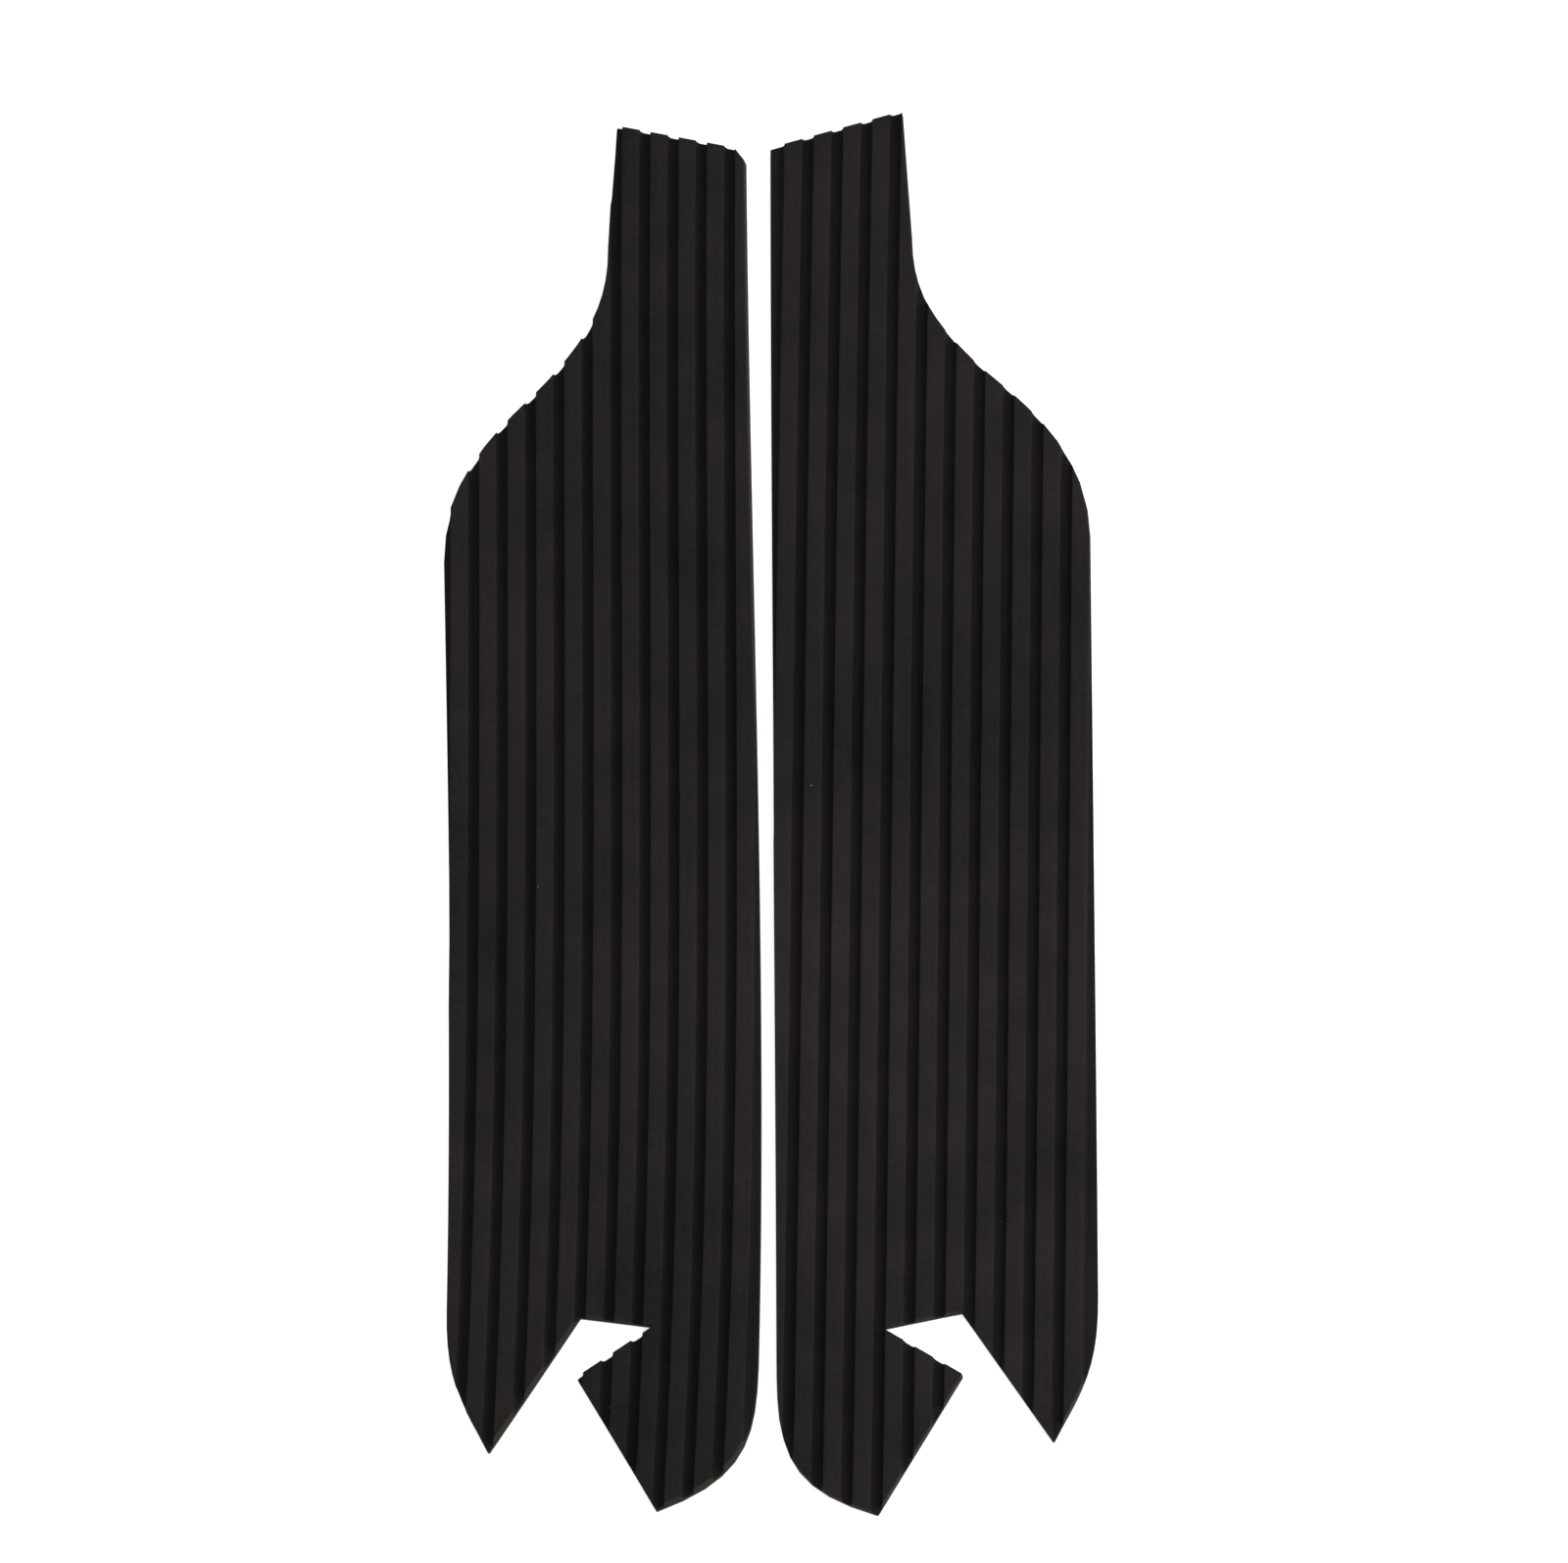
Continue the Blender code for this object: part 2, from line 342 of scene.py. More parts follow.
GRAIN_PER_METRE = 1500.0
CELLS_PER_METRE = 2300.0
FLECKS_PER_METRE = 260.0
MOTTLE_PER_METRE = 28.0
TONE_PER_METRE = 3.6
STREAKS_PER_METRE = 700.0
STREAK_STRETCH = (1.0, 0.012, 1.0)
DUST_PER_METRE = 70.0
DUST_SHARE = 0.986
DUST_RADIUS = 0.032
DUST_COLOUR = (0.24, 0.22, 0.19, 1.0)


def times(colour, factor):
    """A colour made lighter or darker, ready for a socket."""
    return tuple(factor * part for part in colour) + (1.0,)


def dust_specks(board, place):
    """How much each point is covered by a scattered speck, from 0 to 1."""
    dots = {"voronoi_dimensions": "2D"}
    values = {"Vector": place, "Scale": DUST_PER_METRE}
    near = board.add("ShaderNodeTexVoronoi", dots, values, out="Distance")
    lots = board.add("ShaderNodeTexVoronoi", dots, values, out="Color")
    drawn = board.add("ShaderNodeSeparateColor", None, {"Color": lots}, out="Red")
    density = board.add("ShaderNodeSeparateColor", None, {"Color": lots}, out="Green")
    return (near < DUST_RADIUS) * (drawn > DUST_SHARE) * density * density


MOTTLE_STRENGTH = 0.67
TONE_STRENGTH = 0.85
GRAIN_STRENGTH = 0.24
FLECK_STRENGTH = 0.4
DARK_SKIN = 0.3
LIGHT_SKIN = 1.7
LIGHT_CELL = 1.35
DARK_CELL = 0.55
# Painted shade in the grooves: below a rib's crown the skin colour is darkened by this factor, fading in over
# this depth
PAINTED_SHADE_FADE = 0.0012
GROOVE_PAINTED_SHADE = 0.58
FOAM_BUMP = 0.55
FOAM_BUMP_HEIGHT = 0.0002
FOAM_SPECULAR = 0.09


def foam_finish(name, skin, cut, streak_strength, roughness, crown=None):
    """Black foam: skin colour on top, painted shade below a rib's crown, and paler where the die went
    through.
    """
    material, shader, board = new_finish(name)
    place = board.add("ShaderNodeTexCoord", out="Object")
    opened = board.add("ShaderNodeAttribute", {"attribute_name": "cut"}, out="Fac")
    grain = noise(board, place, GRAIN_PER_METRE)
    flecks = noise(board, place, FLECKS_PER_METRE, 3.0)
    mottle = noise(board, place, MOTTLE_PER_METRE, 4.0)
    tone = noise(board, place, TONE_PER_METRE, 1.0)
    streaks = noise(board, stretched(board, place, STREAK_STRETCH), STREAKS_PER_METRE, 3.0)
    cells = board.add("ShaderNodeTexVoronoi", None, {"Vector": place, "Scale": CELLS_PER_METRE})

    share = 0.5 + MOTTLE_STRENGTH * (mottle - 0.5) + TONE_STRENGTH * (tone - 0.5)
    share = share + GRAIN_STRENGTH * (grain - 0.5) + FLECK_STRENGTH * (flecks - 0.5)
    share = share + streak_strength * (streaks - 0.5)
    skin_tone = blended(board, share, times(skin, DARK_SKIN), times(skin, LIGHT_SKIN))
    # Painted shade: below the crown a darker copy of the skin colour stands for the shade inside the grooves
    if crown:
        level = board.add("ShaderNodeSeparateXYZ", None, {"Vector": place}, out="Z")
        dark, light = DARK_SKIN * GROOVE_PAINTED_SHADE, LIGHT_SKIN * GROOVE_PAINTED_SHADE
        painted_groove_shade = blended(board, share, times(skin, dark), times(skin, light))
        skin_tone = blended(board, level.rise(crown, crown - PAINTED_SHADE_FADE), skin_tone, painted_groove_shade)
    cut_tone = blended(board, cells, times(cut, LIGHT_CELL), times(cut, DARK_CELL))
    colour = blended(board, opened, skin_tone, cut_tone)
    colour = blended(board, dust_specks(board, place), colour, DUST_COLOUR)
    height = 0.55 * grain + 0.45 * cells + 0.15 * streaks
    relief = {"Strength": FOAM_BUMP, "Distance": FOAM_BUMP_HEIGHT, "Height": height}
    bump = board.add("ShaderNodeBump", None, relief)
    feed(board, shader, {
        "Base Color": colour,
        "Roughness": roughness + 0.16 * (grain - 0.5) + 0.1 * (mottle - 0.5),
        "Specular IOR Level": FOAM_SPECULAR,
        "Normal": bump,
    })
    return material


CUT_FOAM = (0.0225, 0.0201, 0.0167)
RIB_SKIN = (0.0148, 0.0130, 0.0121)
BASE_SKIN = (0.0101, 0.0087, 0.0087)
RIB_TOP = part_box("left_rib_04")[1].z
RIB_FOAM = foam_finish("rib_foam", RIB_SKIN, CUT_FOAM, 0.24, 0.78, RIB_TOP)
BASE_FOAM = foam_finish("base_foam", BASE_SKIN, CUT_FOAM, 0.32, 0.84)
print("foam finishes:", RIB_FOAM.name, BASE_FOAM.name)

# %% [markdown]
# ## Adhesive and liner
# The adhesive is a thin film of clear amber acrylic with a wet look and soft orange-peel waves. The liner is
# kraft paper with a silicone face: brown, fibrous and slightly shiny. Both show as fine lines round the cut
# edge, and from below or when a mat is lifted. Their cut edges are painted near black: painted shade that
# stands for the shadow at the foot of the mat.


# %% Adhesive and liner finishes
WAVES_PER_METRE = 160.0
CLOUDS_PER_METRE = 18.0
BUBBLES_PER_METRE = 420.0
DARK_AMBER = (0.40, 0.29, 0.14, 1.0)
LIGHT_AMBER = (0.55, 0.43, 0.25, 1.0)
BUBBLE_COLOUR = (0.62, 0.53, 0.36, 1.0)
# Painted shade: the film's cut edge is near black, standing for the shadow at the foot of the mat
FILM_EDGE_PAINTED_SHADE = (0.030, 0.022, 0.013, 1.0)


def adhesive_finish():
    """Amber acrylic film with soft waves and tiny bubbles, and painted shade on its cut edge."""
    material, shader, board = new_finish("adhesive_film")
    place = board.add("ShaderNodeTexCoord", out="Object")
    waves = noise(board, place, WAVES_PER_METRE)
    clouds = noise(board, place, CLOUDS_PER_METRE, 3.0)
    bubbles = board.add("ShaderNodeTexVoronoi", None, {"Vector": place, "Scale": BUBBLES_PER_METRE})
    amber = blended(board, clouds, DARK_AMBER, LIGHT_AMBER)
    colour = blended(board, bubbles.rise(0.16, 0.06), amber, BUBBLE_COLOUR)
    opened = board.add("ShaderNodeAttribute", {"attribute_name": "cut"}, out="Fac")
    # Painted shade on the cut edge
    colour = blended(board, opened, colour, FILM_EDGE_PAINTED_SHADE)
    bump = board.add("ShaderNodeBump", None, {"Strength": 0.4, "Distance": 0.0003, "Height": waves})
    feed(board, shader, {
        "Base Color": colour,
        "Roughness": 0.24 + 0.2 * waves,
        "Coat Weight": 0.35,
        "Coat Roughness": 0.15,
        "Normal": bump,
    })
    return material


FIBRES_PER_METRE = 1900.0
FIBRE_STRETCH = (1.0, 0.18, 1.0)
PULP_PER_METRE = 120.0
DARK_KRAFT = (0.27, 0.16, 0.085, 1.0)
LIGHT_KRAFT = (0.47, 0.32, 0.19, 1.0)
# Painted shade: the paper's cut edge is near black, standing for the shadow at the foot of the mat
KRAFT_EDGE_PAINTED_SHADE = (0.028, 0.020, 0.013, 1.0)


def liner_finish():
    """Siliconed kraft paper: long fibres over cloudy pulp, and painted shade on its cut edge."""
    material, shader, board = new_finish("liner_paper")
    place = board.add("ShaderNodeTexCoord", out="Object")
    fibres = noise(board, stretched(board, place, FIBRE_STRETCH), FIBRES_PER_METRE, 4.0)
    pulp = noise(board, place, PULP_PER_METRE, 5.0)
    brown = blended(board, 0.6 * pulp + 0.4 * fibres, DARK_KRAFT, LIGHT_KRAFT)
    opened = board.add("ShaderNodeAttribute", {"attribute_name": "cut"}, out="Fac")
    # Painted shade on the cut edge
    brown = blended(board, opened, brown, KRAFT_EDGE_PAINTED_SHADE)
    bump = board.add("ShaderNodeBump", None, {"Strength": 0.35, "Distance": 0.0002, "Height": fibres + pulp})
    feed(board, shader, {
        "Base Color": brown,
        "Roughness": 0.42 + 0.22 * pulp,
        "Specular IOR Level": 0.4,
        "Normal": bump,
    })
    return material


ADHESIVE = adhesive_finish()
LINER = liner_finish()
print("film and paper finishes:", ADHESIVE.name, LINER.name)

# %% [markdown]
# ## The cutting die
# A steel-rule die stamps every layer to the same cut line. Here the die is a closed solid: the cut line
# raised to a wall, with its upper rim rounded a little because foam springs back when the blade leaves it.
# A shape is stamped by keeping what lies inside both it and the die.

# %% Dies
DIE_BELOW = 0.001
DIE_ABOVE = 0.00004
RIM_STEPS = 3


def die(side, low, high, rim):
    """The cut line as a closed solid from below low to just above high, with a rounded upper rim."""
    body = bmesh.new()
    floor = body.faces.new([body.verts.new((x, y, low - DIE_BELOW)) for x, y in CUT_LINES[side]])
    raised = bmesh.ops.extrude_face_region(body, geom=[floor], use_keep_orig=True)["geom"]
    tops = [item for item in raised if isinstance(item, bmesh.types.BMVert)]
    bmesh.ops.translate(body, vec=(0.0, 0.0, high + DIE_ABOVE - low + DIE_BELOW), verts=tops)
    if rim:
        lifted = set(tops)
        edges = [edge for edge in body.edges if set(edge.verts) <= lifted]
        bmesh.ops.bevel(body, geom=edges, offset=rim, segments=RIM_STEPS, profile=0.5, affect="EDGES")
    bmesh.ops.recalc_face_normals(body, faces=body.faces)
    mesh = bpy.data.meshes.new(side + "_die")
    body.to_mesh(mesh)
    body.free()
    return mesh


print("dies ready")

# %% [markdown]
# ## Growing the ribs
# A rib is a profile drawn along a straight line, and a mat has a row of them: just what Geometry Nodes are
# for. The profile is rounded at its upper edges, and its foot sweeps out into the groove, as a worn cutter
# leaves it. The tree sweeps one bar, instances it along a line of points, lets the routed walls wander by a
# fraction of a millimetre as foam does under a cutter, and stamps the row with the die.


# %% The rib tree
def mark_cut(board, mesh, value):
    """Stores the attribute that tells cut walls from skin."""
    settings = {"data_type": "FLOAT", "domain": "FACE"}
    values = {"Geometry": mesh, "Name": "cut", "Value": value}
    return board.add("GeometryNodeStoreNamedAttribute", settings, values)


def joined_vector(board, x, y, z):
    """A vector from three numbers or wires."""
    return board.add("ShaderNodeCombineXYZ", None, {"X": x, "Y": y, "Z": z})


def stamped(board, blank, die_mesh):
    """What lies inside both the blank and the die, with the walls marked as cut."""
    settings = {"operation": "INTERSECT", "solver": "MANIFOLD"}
    both = [mark_cut(board, blank, 0.0), mark_cut(board, die_mesh, 1.0)]
    return board.add("GeometryNodeMeshBoolean", settings, {"Mesh 2": both})


def finish_tree(board, mesh, material):
    """Ends a tree with real meshes that wear the material."""
    mesh = board.add("GeometryNodeRealizeInstances", None, {"Geometry": mesh})
    mesh = board.add("GeometryNodeSetMaterial", None, {"Geometry": mesh, "Material": material})
    board.add("NodeGroupOutput", None, {"Mesh": mesh}, out=None)


NEAR_EDGE = 0.49
LOW_ON_WALL = 0.1
LOW_WALL_FLARE = 0.2
WANDERS_PER_METRE = 45.0


def rib_tree():
    """Rows of routed foam ribs, stamped to the cut line."""
    board, given = new_group("routed_ribs", {
        "Rib Count": "Int", "Rib Pitch": "Float", "Rib Width": "Float", "Rib Height": "Float",
        "Edge Radius": "Float", "Edge Steps": "Int", "Foot Flare": "Float", "Rib Length": "Float",
        "Ring Spacing": "Float", "First Rib": "Float", "Foot": "Float", "Lean": "Float",
        "Wander": "Float", "Material": "Material",
    })
    box = {"Width": given["Rib Width"], "Height": given["Rib Height"]}
    profile = board.add("GeometryNodeCurvePrimitiveQuadrilateral", {"mode": "RECTANGLE"}, box)
    profile = board.add("GeometryNodeSubdivideCurve", None, {"Curve": profile, "Cuts": 2})
    point = board.add("GeometryNodeInputPosition")
    # Along this rail the sweep turns the profile's Y axis down
    down = board.add("ShaderNodeSeparateXYZ", None, {"Vector": point}, out="Y")
    aside = board.add("ShaderNodeSeparateXYZ", None, {"Vector": point}, out="X")
    height = given["Rib Height"]
    foot = (down > height * NEAR_EDGE) + (down > height * LOW_ON_WALL) * LOW_WALL_FLARE
    sweep_out = aside / given["Rib Width"] * 2.0 * given["Foot Flare"] * foot
    flared = {"Geometry": profile, "Offset": joined_vector(board, sweep_out, 0.0, 0.0)}
    profile = board.add("GeometryNodeSetPosition", None, flared)
    radius = given["Edge Radius"] * (down < height * -NEAR_EDGE)
    rounding = {"Curve": profile, "Count": given["Edge Steps"], "Radius": radius}
    profile = board.add("GeometryNodeFilletCurve", {"mode": "POLY"}, rounding)

    half = given["Rib Length"] * 0.5
    ends = {"Start": joined_vector(board, 0.0, half * -1.0, 0.0), "End": joined_vector(board, 0.0, half, 0.0)}
    rail = board.add("GeometryNodeCurvePrimitiveLine", None, ends)
    spaced = {"Curve": rail, "Length": given["Ring Spacing"]}
    rail = board.add("GeometryNodeResampleCurve", {"mode": "LENGTH"}, spaced)
    rail = board.add("GeometryNodeSetCurveNormal", {"mode": "Z_UP"}, {"Curve": rail})
    sweep = {"Curve": rail, "Profile Curve": profile, "Fill Caps": True}
    bar = board.add("GeometryNodeCurveToMesh", None, sweep)

    lift = given["Foot"] + given["Rib Height"] * 0.5
    row = {
        "Count": given["Rib Count"],
        "Start Location": joined_vector(board, given["First Rib"], 0.0, lift),
        "Offset": joined_vector(board, given["Rib Pitch"], 0.0, 0.0),
    }
    points = board.add("GeometryNodeMeshLine", {"mode": "OFFSET"}, row)
    turn = joined_vector(board, 0.0, 0.0, given["Lean"] * -1.0)
    copies = {"Points": points, "Instance": bar, "Rotation": turn}
    ribs = board.add("GeometryNodeInstanceOnPoints", None, copies)
    ribs = board.add("GeometryNodeRealizeInstances", None, {"Geometry": ribs})

    waver = noise(board, point, WANDERS_PER_METRE, 3.0) - 0.5
    offset = joined_vector(board, waver * given["Wander"], 0.0, 0.0)
    ribs = board.add("GeometryNodeSetPosition", None, {"Geometry": ribs, "Offset": offset})
    finish_tree(board, stamped(board, ribs, given["Mesh"]), given["Material"])
    return board.tree


RIB_TREE = rib_tree()
print("rib tree:", len(RIB_TREE.nodes), "nodes")

# %% [markdown]
# ## Growing the sheets
# The base foam, the adhesive and the paper are flat blanks stamped by the same die. Each blank is a box with
# a fine grid on it, so that it can later take the lay of a soft mat.


# %% The sheet tree
def sheet_tree():
    """A gridded blank, stamped to the cut line."""
    board, given = new_group("stamped_sheet", {
        "Size": "Vector", "Centre": "Vector", "Cells Across": "Int", "Cells Along": "Int",
        "Material": "Material",
    })
    grid = {"Size": given["Size"], "Vertices X": given["Cells Across"], "Vertices Y": given["Cells Along"]}
    blank = board.add("GeometryNodeMeshCube", None, grid)
    blank = board.add("GeometryNodeTransform", None, {"Geometry": blank, "Translation": given["Centre"]})
    finish_tree(board, stamped(board, blank, given["Mesh"]), given["Material"])
    return board.tree


SHEET_TREE = sheet_tree()
print("sheet tree:", len(SHEET_TREE.nodes), "nodes")

# %% [markdown]
# ## Closing the bond lines
# The frame keeps a sliver of air between layers that are really stuck together. Each dressed layer grows to
# the middle of that sliver, so no daylight shows. Between film and liner a hair's breadth stays, since that
# is where the mat peels off.

# %% Seam heights
PEEL_GAP = 0.00004


def seam(lower, upper):
    """The height halfway between two neighbouring layers."""
    return (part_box(lower)[1].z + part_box(upper)[0].z) / 2


PEEL = seam("left_release_liner", "left_adhesive_film")
GLUE = seam("left_adhesive_film", "left_base_sheet")
FLOOR_OF_GROOVE = seam("left_base_sheet", "left_rib_04")
print("seams at", [round(1000 * z, 2) for z in (PEEL, GLUE, FLOOR_OF_GROOVE, RIB_TOP)], "mm")

# %% [markdown]
# ## Making every piece
# One helper turns a finished mesh into a piece: it smooths what is round, rides on its body and stands for
# its node. Where the foot of a rib runs on past the apex of the dart, the strip beyond the dart stays in one
# piece with its rib, and the piece stands for both nodes.

# %% Piece helpers
SHARP = math.radians(35.0)
LAYS = {
    "left": {"shift": (0.0002, 0.0019), "turn": math.radians(0.152), "spread": (-0.0137, -0.0051),
             "bow": -0.0034, "swing": 0.0020, "creep": (-0.125, 0.1)},
    "right": {"shift": (-0.0002, -0.0019), "turn": math.radians(-0.152), "spread": (0.0137, 0.0051),
              "bow": 0.0, "swing": 0.0004, "creep": (0.0, 0.0)},
}


def settle(side, mesh):
    """Gives a flat mesh of this mat the lay of the soft mat."""
    lay = LAYS[side]
    low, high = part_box(side + "_base_sheet")
    middle = np.array(((low.x + high.x) / 2, 0.0))
    places = np.zeros(3 * len(mesh.vertices), np.float32)
    mesh.vertices.foreach_get("co", places)
    places = places.reshape(-1, 3)
    along = places[:, 1] / high.y
    plan = (places[:, :2] - middle) * (1.0 + np.array(lay["spread"]))
    turn, bow, swing = lay["turn"], lay["bow"], lay["swing"]
    across = math.cos(turn) * plan[:, 0] - math.sin(turn) * plan[:, 1]
    places[:, 1] = math.sin(turn) * plan[:, 0] + math.cos(turn) * plan[:, 1]
    across += bow * (3.0 * along ** 2 - 1.0) / 2.0 + swing * (5.0 * along ** 3 - 3.0 * along) / 2.0
    places[:, 0] = across + middle[0]
    places[:, :2] += np.array(lay["shift"]) + np.outer(places[:, 2], lay["creep"])
    mesh.vertices.foreach_set("co", places.ravel())
    mesh.update()


def part_walls(mesh):
    """Heals edges that the die split in two, and stops smooth shading where skin meets a cut wall."""
    body = bmesh.new()
    body.from_mesh(mesh)
    split = [vert for vert in body.verts if len(vert.link_edges) == 2]
    bmesh.ops.dissolve_verts(body, verts=split)
    cut = body.faces.layers.float["cut"]
    for edge in body.edges:
        if len({face[cut] > 0.5 for face in edge.link_faces}) > 1:
            edge.smooth = False
    body.to_mesh(mesh)
    body.free()


def new_piece(node, ending, mesh, body, tails=()):
    """An object at the origin that stands for a node of the frame, and for its tails if it holds them."""
    settle(node.split("_")[0], mesh)
    mesh.shade_smooth()
    mesh.set_sharp_from_angle(angle=SHARP)
    part_walls(mesh)
    piece = bpy.data.objects.new(node + ending, mesh)
    mesh.name = piece.name
    bpy.context.scene.collection.objects.link(piece)
    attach(piece, body)
    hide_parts(node, *tails)
    return piece


FEWEST_FACES = 20


def strips(mesh):
    """The separate strips of a mesh, each as a mesh of its own, without the crumbs that the die leaves."""
    whole = bmesh.new()
    whole.from_mesh(mesh)
    whole.verts.ensure_lookup_table()
    label = np.full(len(whole.verts), -1)
    count = 0
    for seed in whole.verts:
        if label[seed.index] >= 0:
            continue
        front = [seed]
        label[seed.index] = count
        while front:
            vert = front.pop()
            for edge in vert.link_edges:
                other = edge.other_vert(vert)
                if label[other.index] < 0:
                    label[other.index] = count
                    front.append(other)
        count += 1
    found = []
    for one in range(count):
        body = whole.copy()
        bmesh.ops.delete(body, geom=[v for v in body.verts if label[v.index] != one], context="VERTS")
        strip = mesh.copy()
        body.to_mesh(strip)
        body.free()
        if len(strip.polygons) >= FEWEST_FACES:
            found.append(strip)
    whole.free()
    return found


def corners(mesh):
    """The places of a mesh's vertices, one row each."""
    places = np.zeros(3 * len(mesh.vertices), np.float32)
    mesh.vertices.foreach_get("co", places)
    return places.reshape(-1, 3)


def breadth(mesh, lean):
    """How wide a strip is, measured square to ribs of this lean."""
    return np.ptp(corners(mesh)[:, :2] @ (math.cos(lean), -math.sin(lean)))


SIZE_WEIGHT = 0.05


def nearest_node(mesh, nodes):
    """The node whose box holds a mesh best, and among those the one nearest to it in size."""
    low, high = corners(mesh).min(axis=0), corners(mesh).max(axis=0)

    def misfit(node):
        below = np.array(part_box(node)[0]) - low
        above = high - np.array(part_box(node)[1])
        outside = np.maximum(below, 0.0).sum() + np.maximum(above, 0.0).sum()
        return outside + SIZE_WEIGHT * (np.abs(below).sum() + np.abs(above).sum())

    return min(nodes, key=misfit)


def rib_number(low, high, lattice):
    """Which rib of the lattice fills a box, counted from the anchored one."""
    middle = (np.array(low) + np.array(high)) / 2
    crossing = middle[0] - math.tan(lattice["lean"]) * middle[1]
    return round((crossing - lattice["anchor"]) / lattice["pitch"])


def joined(meshes):
    """Several meshes as one, which takes the finish of the first."""
    body = bmesh.new()
    for mesh in meshes:
        body.from_mesh(mesh)
    body.to_mesh(meshes[0])
    body.free()
    return meshes[0]


print("piece helpers ready")

# %% Rib pieces
RING_SPACING = 0.005
RIB_EDGE = 0.0008
RIB_EDGE_STEPS = 4
FOOT_FLARE = 0.0012
RIB_WANDER = 0.0005
CUT_RIM = 0.0008
SPARE_LENGTH = 0.05
NARROWEST_STRIP = 0.005

for side in SIDES:
    lattice = LATTICES[side]
    low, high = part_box(side + "_base_sheet")
    before = math.ceil((lattice["anchor"] - low.x) / lattice["pitch"]) + 1
    after = math.ceil((high.x - lattice["anchor"]) / lattice["pitch"]) + 1
    rib_mesh = grown(RIB_TREE, die(side, FLOOR_OF_GROOVE, RIB_TOP, CUT_RIM), {
        "Rib Count": before + after + 1,
        "Rib Pitch": lattice["pitch"],
        "Rib Width": lattice["width"],
        "Rib Height": RIB_TOP - FLOOR_OF_GROOVE,
        "Edge Radius": RIB_EDGE,
        "Edge Steps": RIB_EDGE_STEPS,
        "Foot Flare": FOOT_FLARE,
        "Rib Length": high.y - low.y + SPARE_LENGTH,
        "Ring Spacing": RING_SPACING,
        "First Rib": lattice["anchor"] - before * lattice["pitch"],
        "Foot": FLOOR_OF_GROOVE,
        "Lean": lattice["lean"],
        "Wander": RIB_WANDER,
        "Material": RIB_FOAM,
    })
    nodes = sorted(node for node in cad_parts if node.startswith(side + "_rib"))
    shares = {node: [] for node in nodes}
    numbers = {node: rib_number(*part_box(node), lattice) for node in nodes}
    for strip in strips(rib_mesh):
        if breadth(strip, lattice["lean"]) > NARROWEST_STRIP:
            number = rib_number(corners(strip).min(axis=0), corners(strip).max(axis=0), lattice)
            same = [node for node in nodes if numbers[node] == number]
            shares[nearest_node(strip, same or nodes)].append(strip)
    for node in nodes:
        if shares[node]:
            tails = [other for other in nodes if numbers[other] == numbers[node] and not shares[other]]
            piece = new_piece(node, "_foam", joined(shares[node]), side + "_mat", tails)
    print(side, "strips to each rib:", [len(shares[node]) for node in nodes])

# %% Sheet pieces
BASE_RIM = 0.0002
BLANK_MARGIN = 0.01

LAYERS = (
    ("_base_sheet", "_foam", GLUE, FLOOR_OF_GROOVE, BASE_RIM, BASE_FOAM, "_mat", "base_foam"),
    ("_adhesive_film", "_skin", PEEL + PEEL_GAP, GLUE, 0.0, ADHESIVE, "_mat", "adhesive_film"),
    ("_release_liner", "_paper", 0.0, PEEL, 0.0, LINER, None, "liner_paper"),
)
for side in SIDES:
    for layer, ending, bottom, top, rim, material, body, slot in LAYERS:
        low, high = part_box(side + layer)
        size = high - low + Vector((BLANK_MARGIN, BLANK_MARGIN, 0.0))
        size.z = top - bottom
        centre = (low + high) / 2
        centre.z = (top + bottom) / 2
        sheet = grown(SHEET_TREE, die(side, bottom, top, rim), {
            "Size": size,
            "Centre": centre,
            "Cells Across": math.ceil(size.x / CELL),
            "Cells Along": math.ceil(size.y / CELL),
            "Material": material,
        })
        piece = new_piece(side + layer, ending, sheet, side + body if body else "release_liners")
        slot == "base_foam"
        print(piece.name, len(sheet.polygons), "faces")

# %% [markdown]
# ## Floor and light
# The mats lie on a seamless white sweep under one wide soft light to the right and an even sky. The white
# comes from the floor's own colour with a little glow that only the camera sees, so the soft shadow stays.

# %% Floor, world and lamp
FLOOR_SIZE = 30.0
FLOOR_DROP = 0.0002
FLOOR_GLOW = 0.66
FLOOR_WHITE = (0.86, 0.86, 0.86, 1.0)
BLACK = (0.0, 0.0, 0.0, 1.0)
WHITE = (1.0, 1.0, 1.0, 1.0)


def seen_rays(board):
    """1 for the rays that see the background: camera, mirror and glass rays."""
    kinds = ("Is Camera Ray", "Is Glossy Ray", "Is Transmission Ray")
    return sum(board.add("ShaderNodeLightPath", out=kind) for kind in kinds)


def floor_finish():
    """White diffuse floor with a faint glow for camera, mirror and glass rays."""
    material, shader, board = new_finish("white_sweep")
    feed(board, shader, {
        "Base Color": FLOOR_WHITE,
        "Roughness": 0.9,
        "Specular IOR Level": 0.0,
        "Emission Color": blended(board, seen_rays(board), BLACK, WHITE),
        "Emission Strength": FLOOR_GLOW,
    })
    return material


def add_floor():
    """A wide flat floor just under the liners."""
    mesh = bpy.data.meshes.new("floor")
    body = bmesh.new()
    bmesh.ops.create_grid(body, x_segments=1, y_segments=1, size=FLOOR_SIZE / 2)
    bmesh.ops.translate(body, vec=(0.0, 0.0, -FLOOR_DROP), verts=body.verts)
    body.to_mesh(mesh)
    body.free()
    mesh.materials.append(floor_finish())
    floor = bpy.data.objects.new("floor", mesh)
    bpy.context.scene.collection.objects.link(floor)


def add_sky(strength):
    """An even white sky that shows as white."""
    world = bpy.data.worlds.new("studio")
    world.use_nodes = True
    bpy.context.scene.world = world
    board = Board(world.node_tree)
    seen = seen_rays(board)
    background = world.node_tree.nodes["Background"]
    background.inputs["Color"].default_value = WHITE
    world.node_tree.links.new((strength + (1.0 - strength) * seen).socket, background.inputs["Strength"])


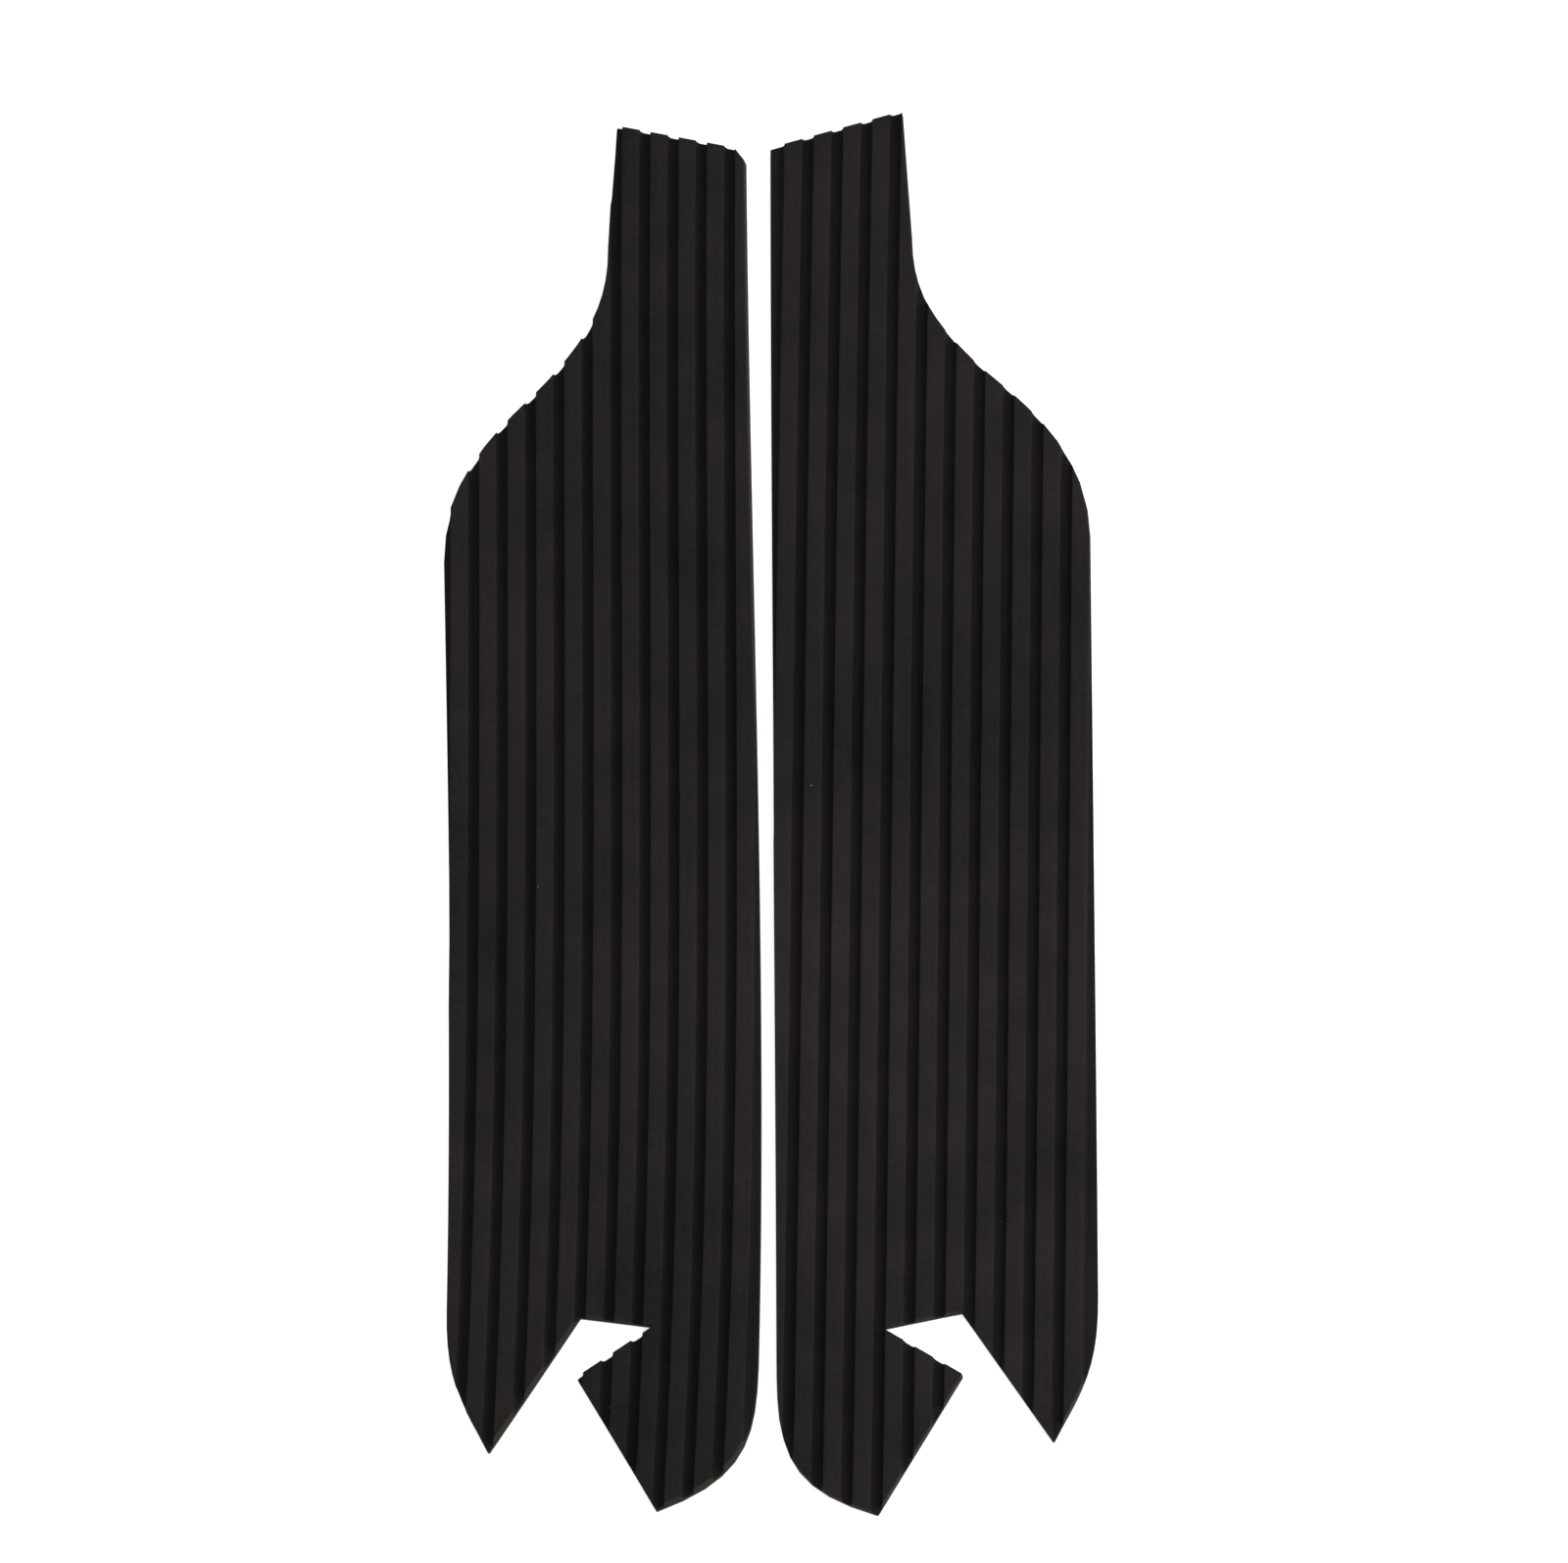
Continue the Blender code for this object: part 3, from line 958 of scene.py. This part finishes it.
def add_softbox(name, place, size, power):
    """A square area lamp at this place, aimed at the mats."""
    lamp = bpy.data.lights.new(name, "AREA")
    lamp.size = size
    lamp.energy = power
    holder = bpy.data.objects.new(name, lamp)
    holder.location = place
    holder.rotation_euler = (-Vector(place)).to_track_quat("-Z", "Y").to_euler()
    bpy.context.scene.collection.objects.link(holder)


SKY_STRENGTH = 0.62
KEY_PLACE = (1.57, -0.4, 1.2)
KEY_SIZE = 1.1
KEY_POWER = 29.0

add_floor()
add_sky(SKY_STRENGTH)
add_softbox("key_softbox", KEY_PLACE, KEY_SIZE, KEY_POWER)
print("stage: floor, sky and one softbox")

# %% [markdown]
# ## Camera
# The view is almost straight down, tilted back a little, through a long lens, so the edges stay parallel.
# A picture pixel is a fixed length at that distance, which gives the lens and the framing.

# %% Camera
IMAGE_SIZE = Vector((1600.0, 1595.0))
PIXELS_PER_METRE = 1640.7
TO_CAMERA = Vector((0.101, -0.3442, 0.9335)).normalized()
CAMERA_DISTANCE = 11.0
CAMERA_ROLL = math.radians(0.476)
CENTRE_PIXEL = Vector((783.0, 825.3))
SENSOR_WIDTH = 36.0

scene = bpy.context.scene
lens = bpy.data.cameras.new("camera")
lens.sensor_width = SENSOR_WIDTH
lens.lens = SENSOR_WIDTH * CAMERA_DISTANCE * PIXELS_PER_METRE / IMAGE_SIZE.x
lens.shift_x = 0.5 - CENTRE_PIXEL.x / IMAGE_SIZE.x
lens.shift_y = (CENTRE_PIXEL.y - IMAGE_SIZE.y / 2) / IMAGE_SIZE.x
camera = bpy.data.objects.new("camera", lens)
across = Vector((0.0, 1.0, 0.0)).cross(TO_CAMERA).normalized()
upright = TO_CAMERA.cross(across)
aim = Matrix((across, upright, TO_CAMERA)).transposed()
camera.rotation_euler = (aim @ Matrix.Rotation(-CAMERA_ROLL, 3, "Z")).to_euler()
camera.location = TO_CAMERA * CAMERA_DISTANCE
lens.clip_end = 4 * CAMERA_DISTANCE
scene.collection.objects.link(camera)
scene.camera = camera
scene.view_settings.view_transform = "Standard"
print("camera:", round(lens.lens, 1), "mm lens at", CAMERA_DISTANCE, "m")
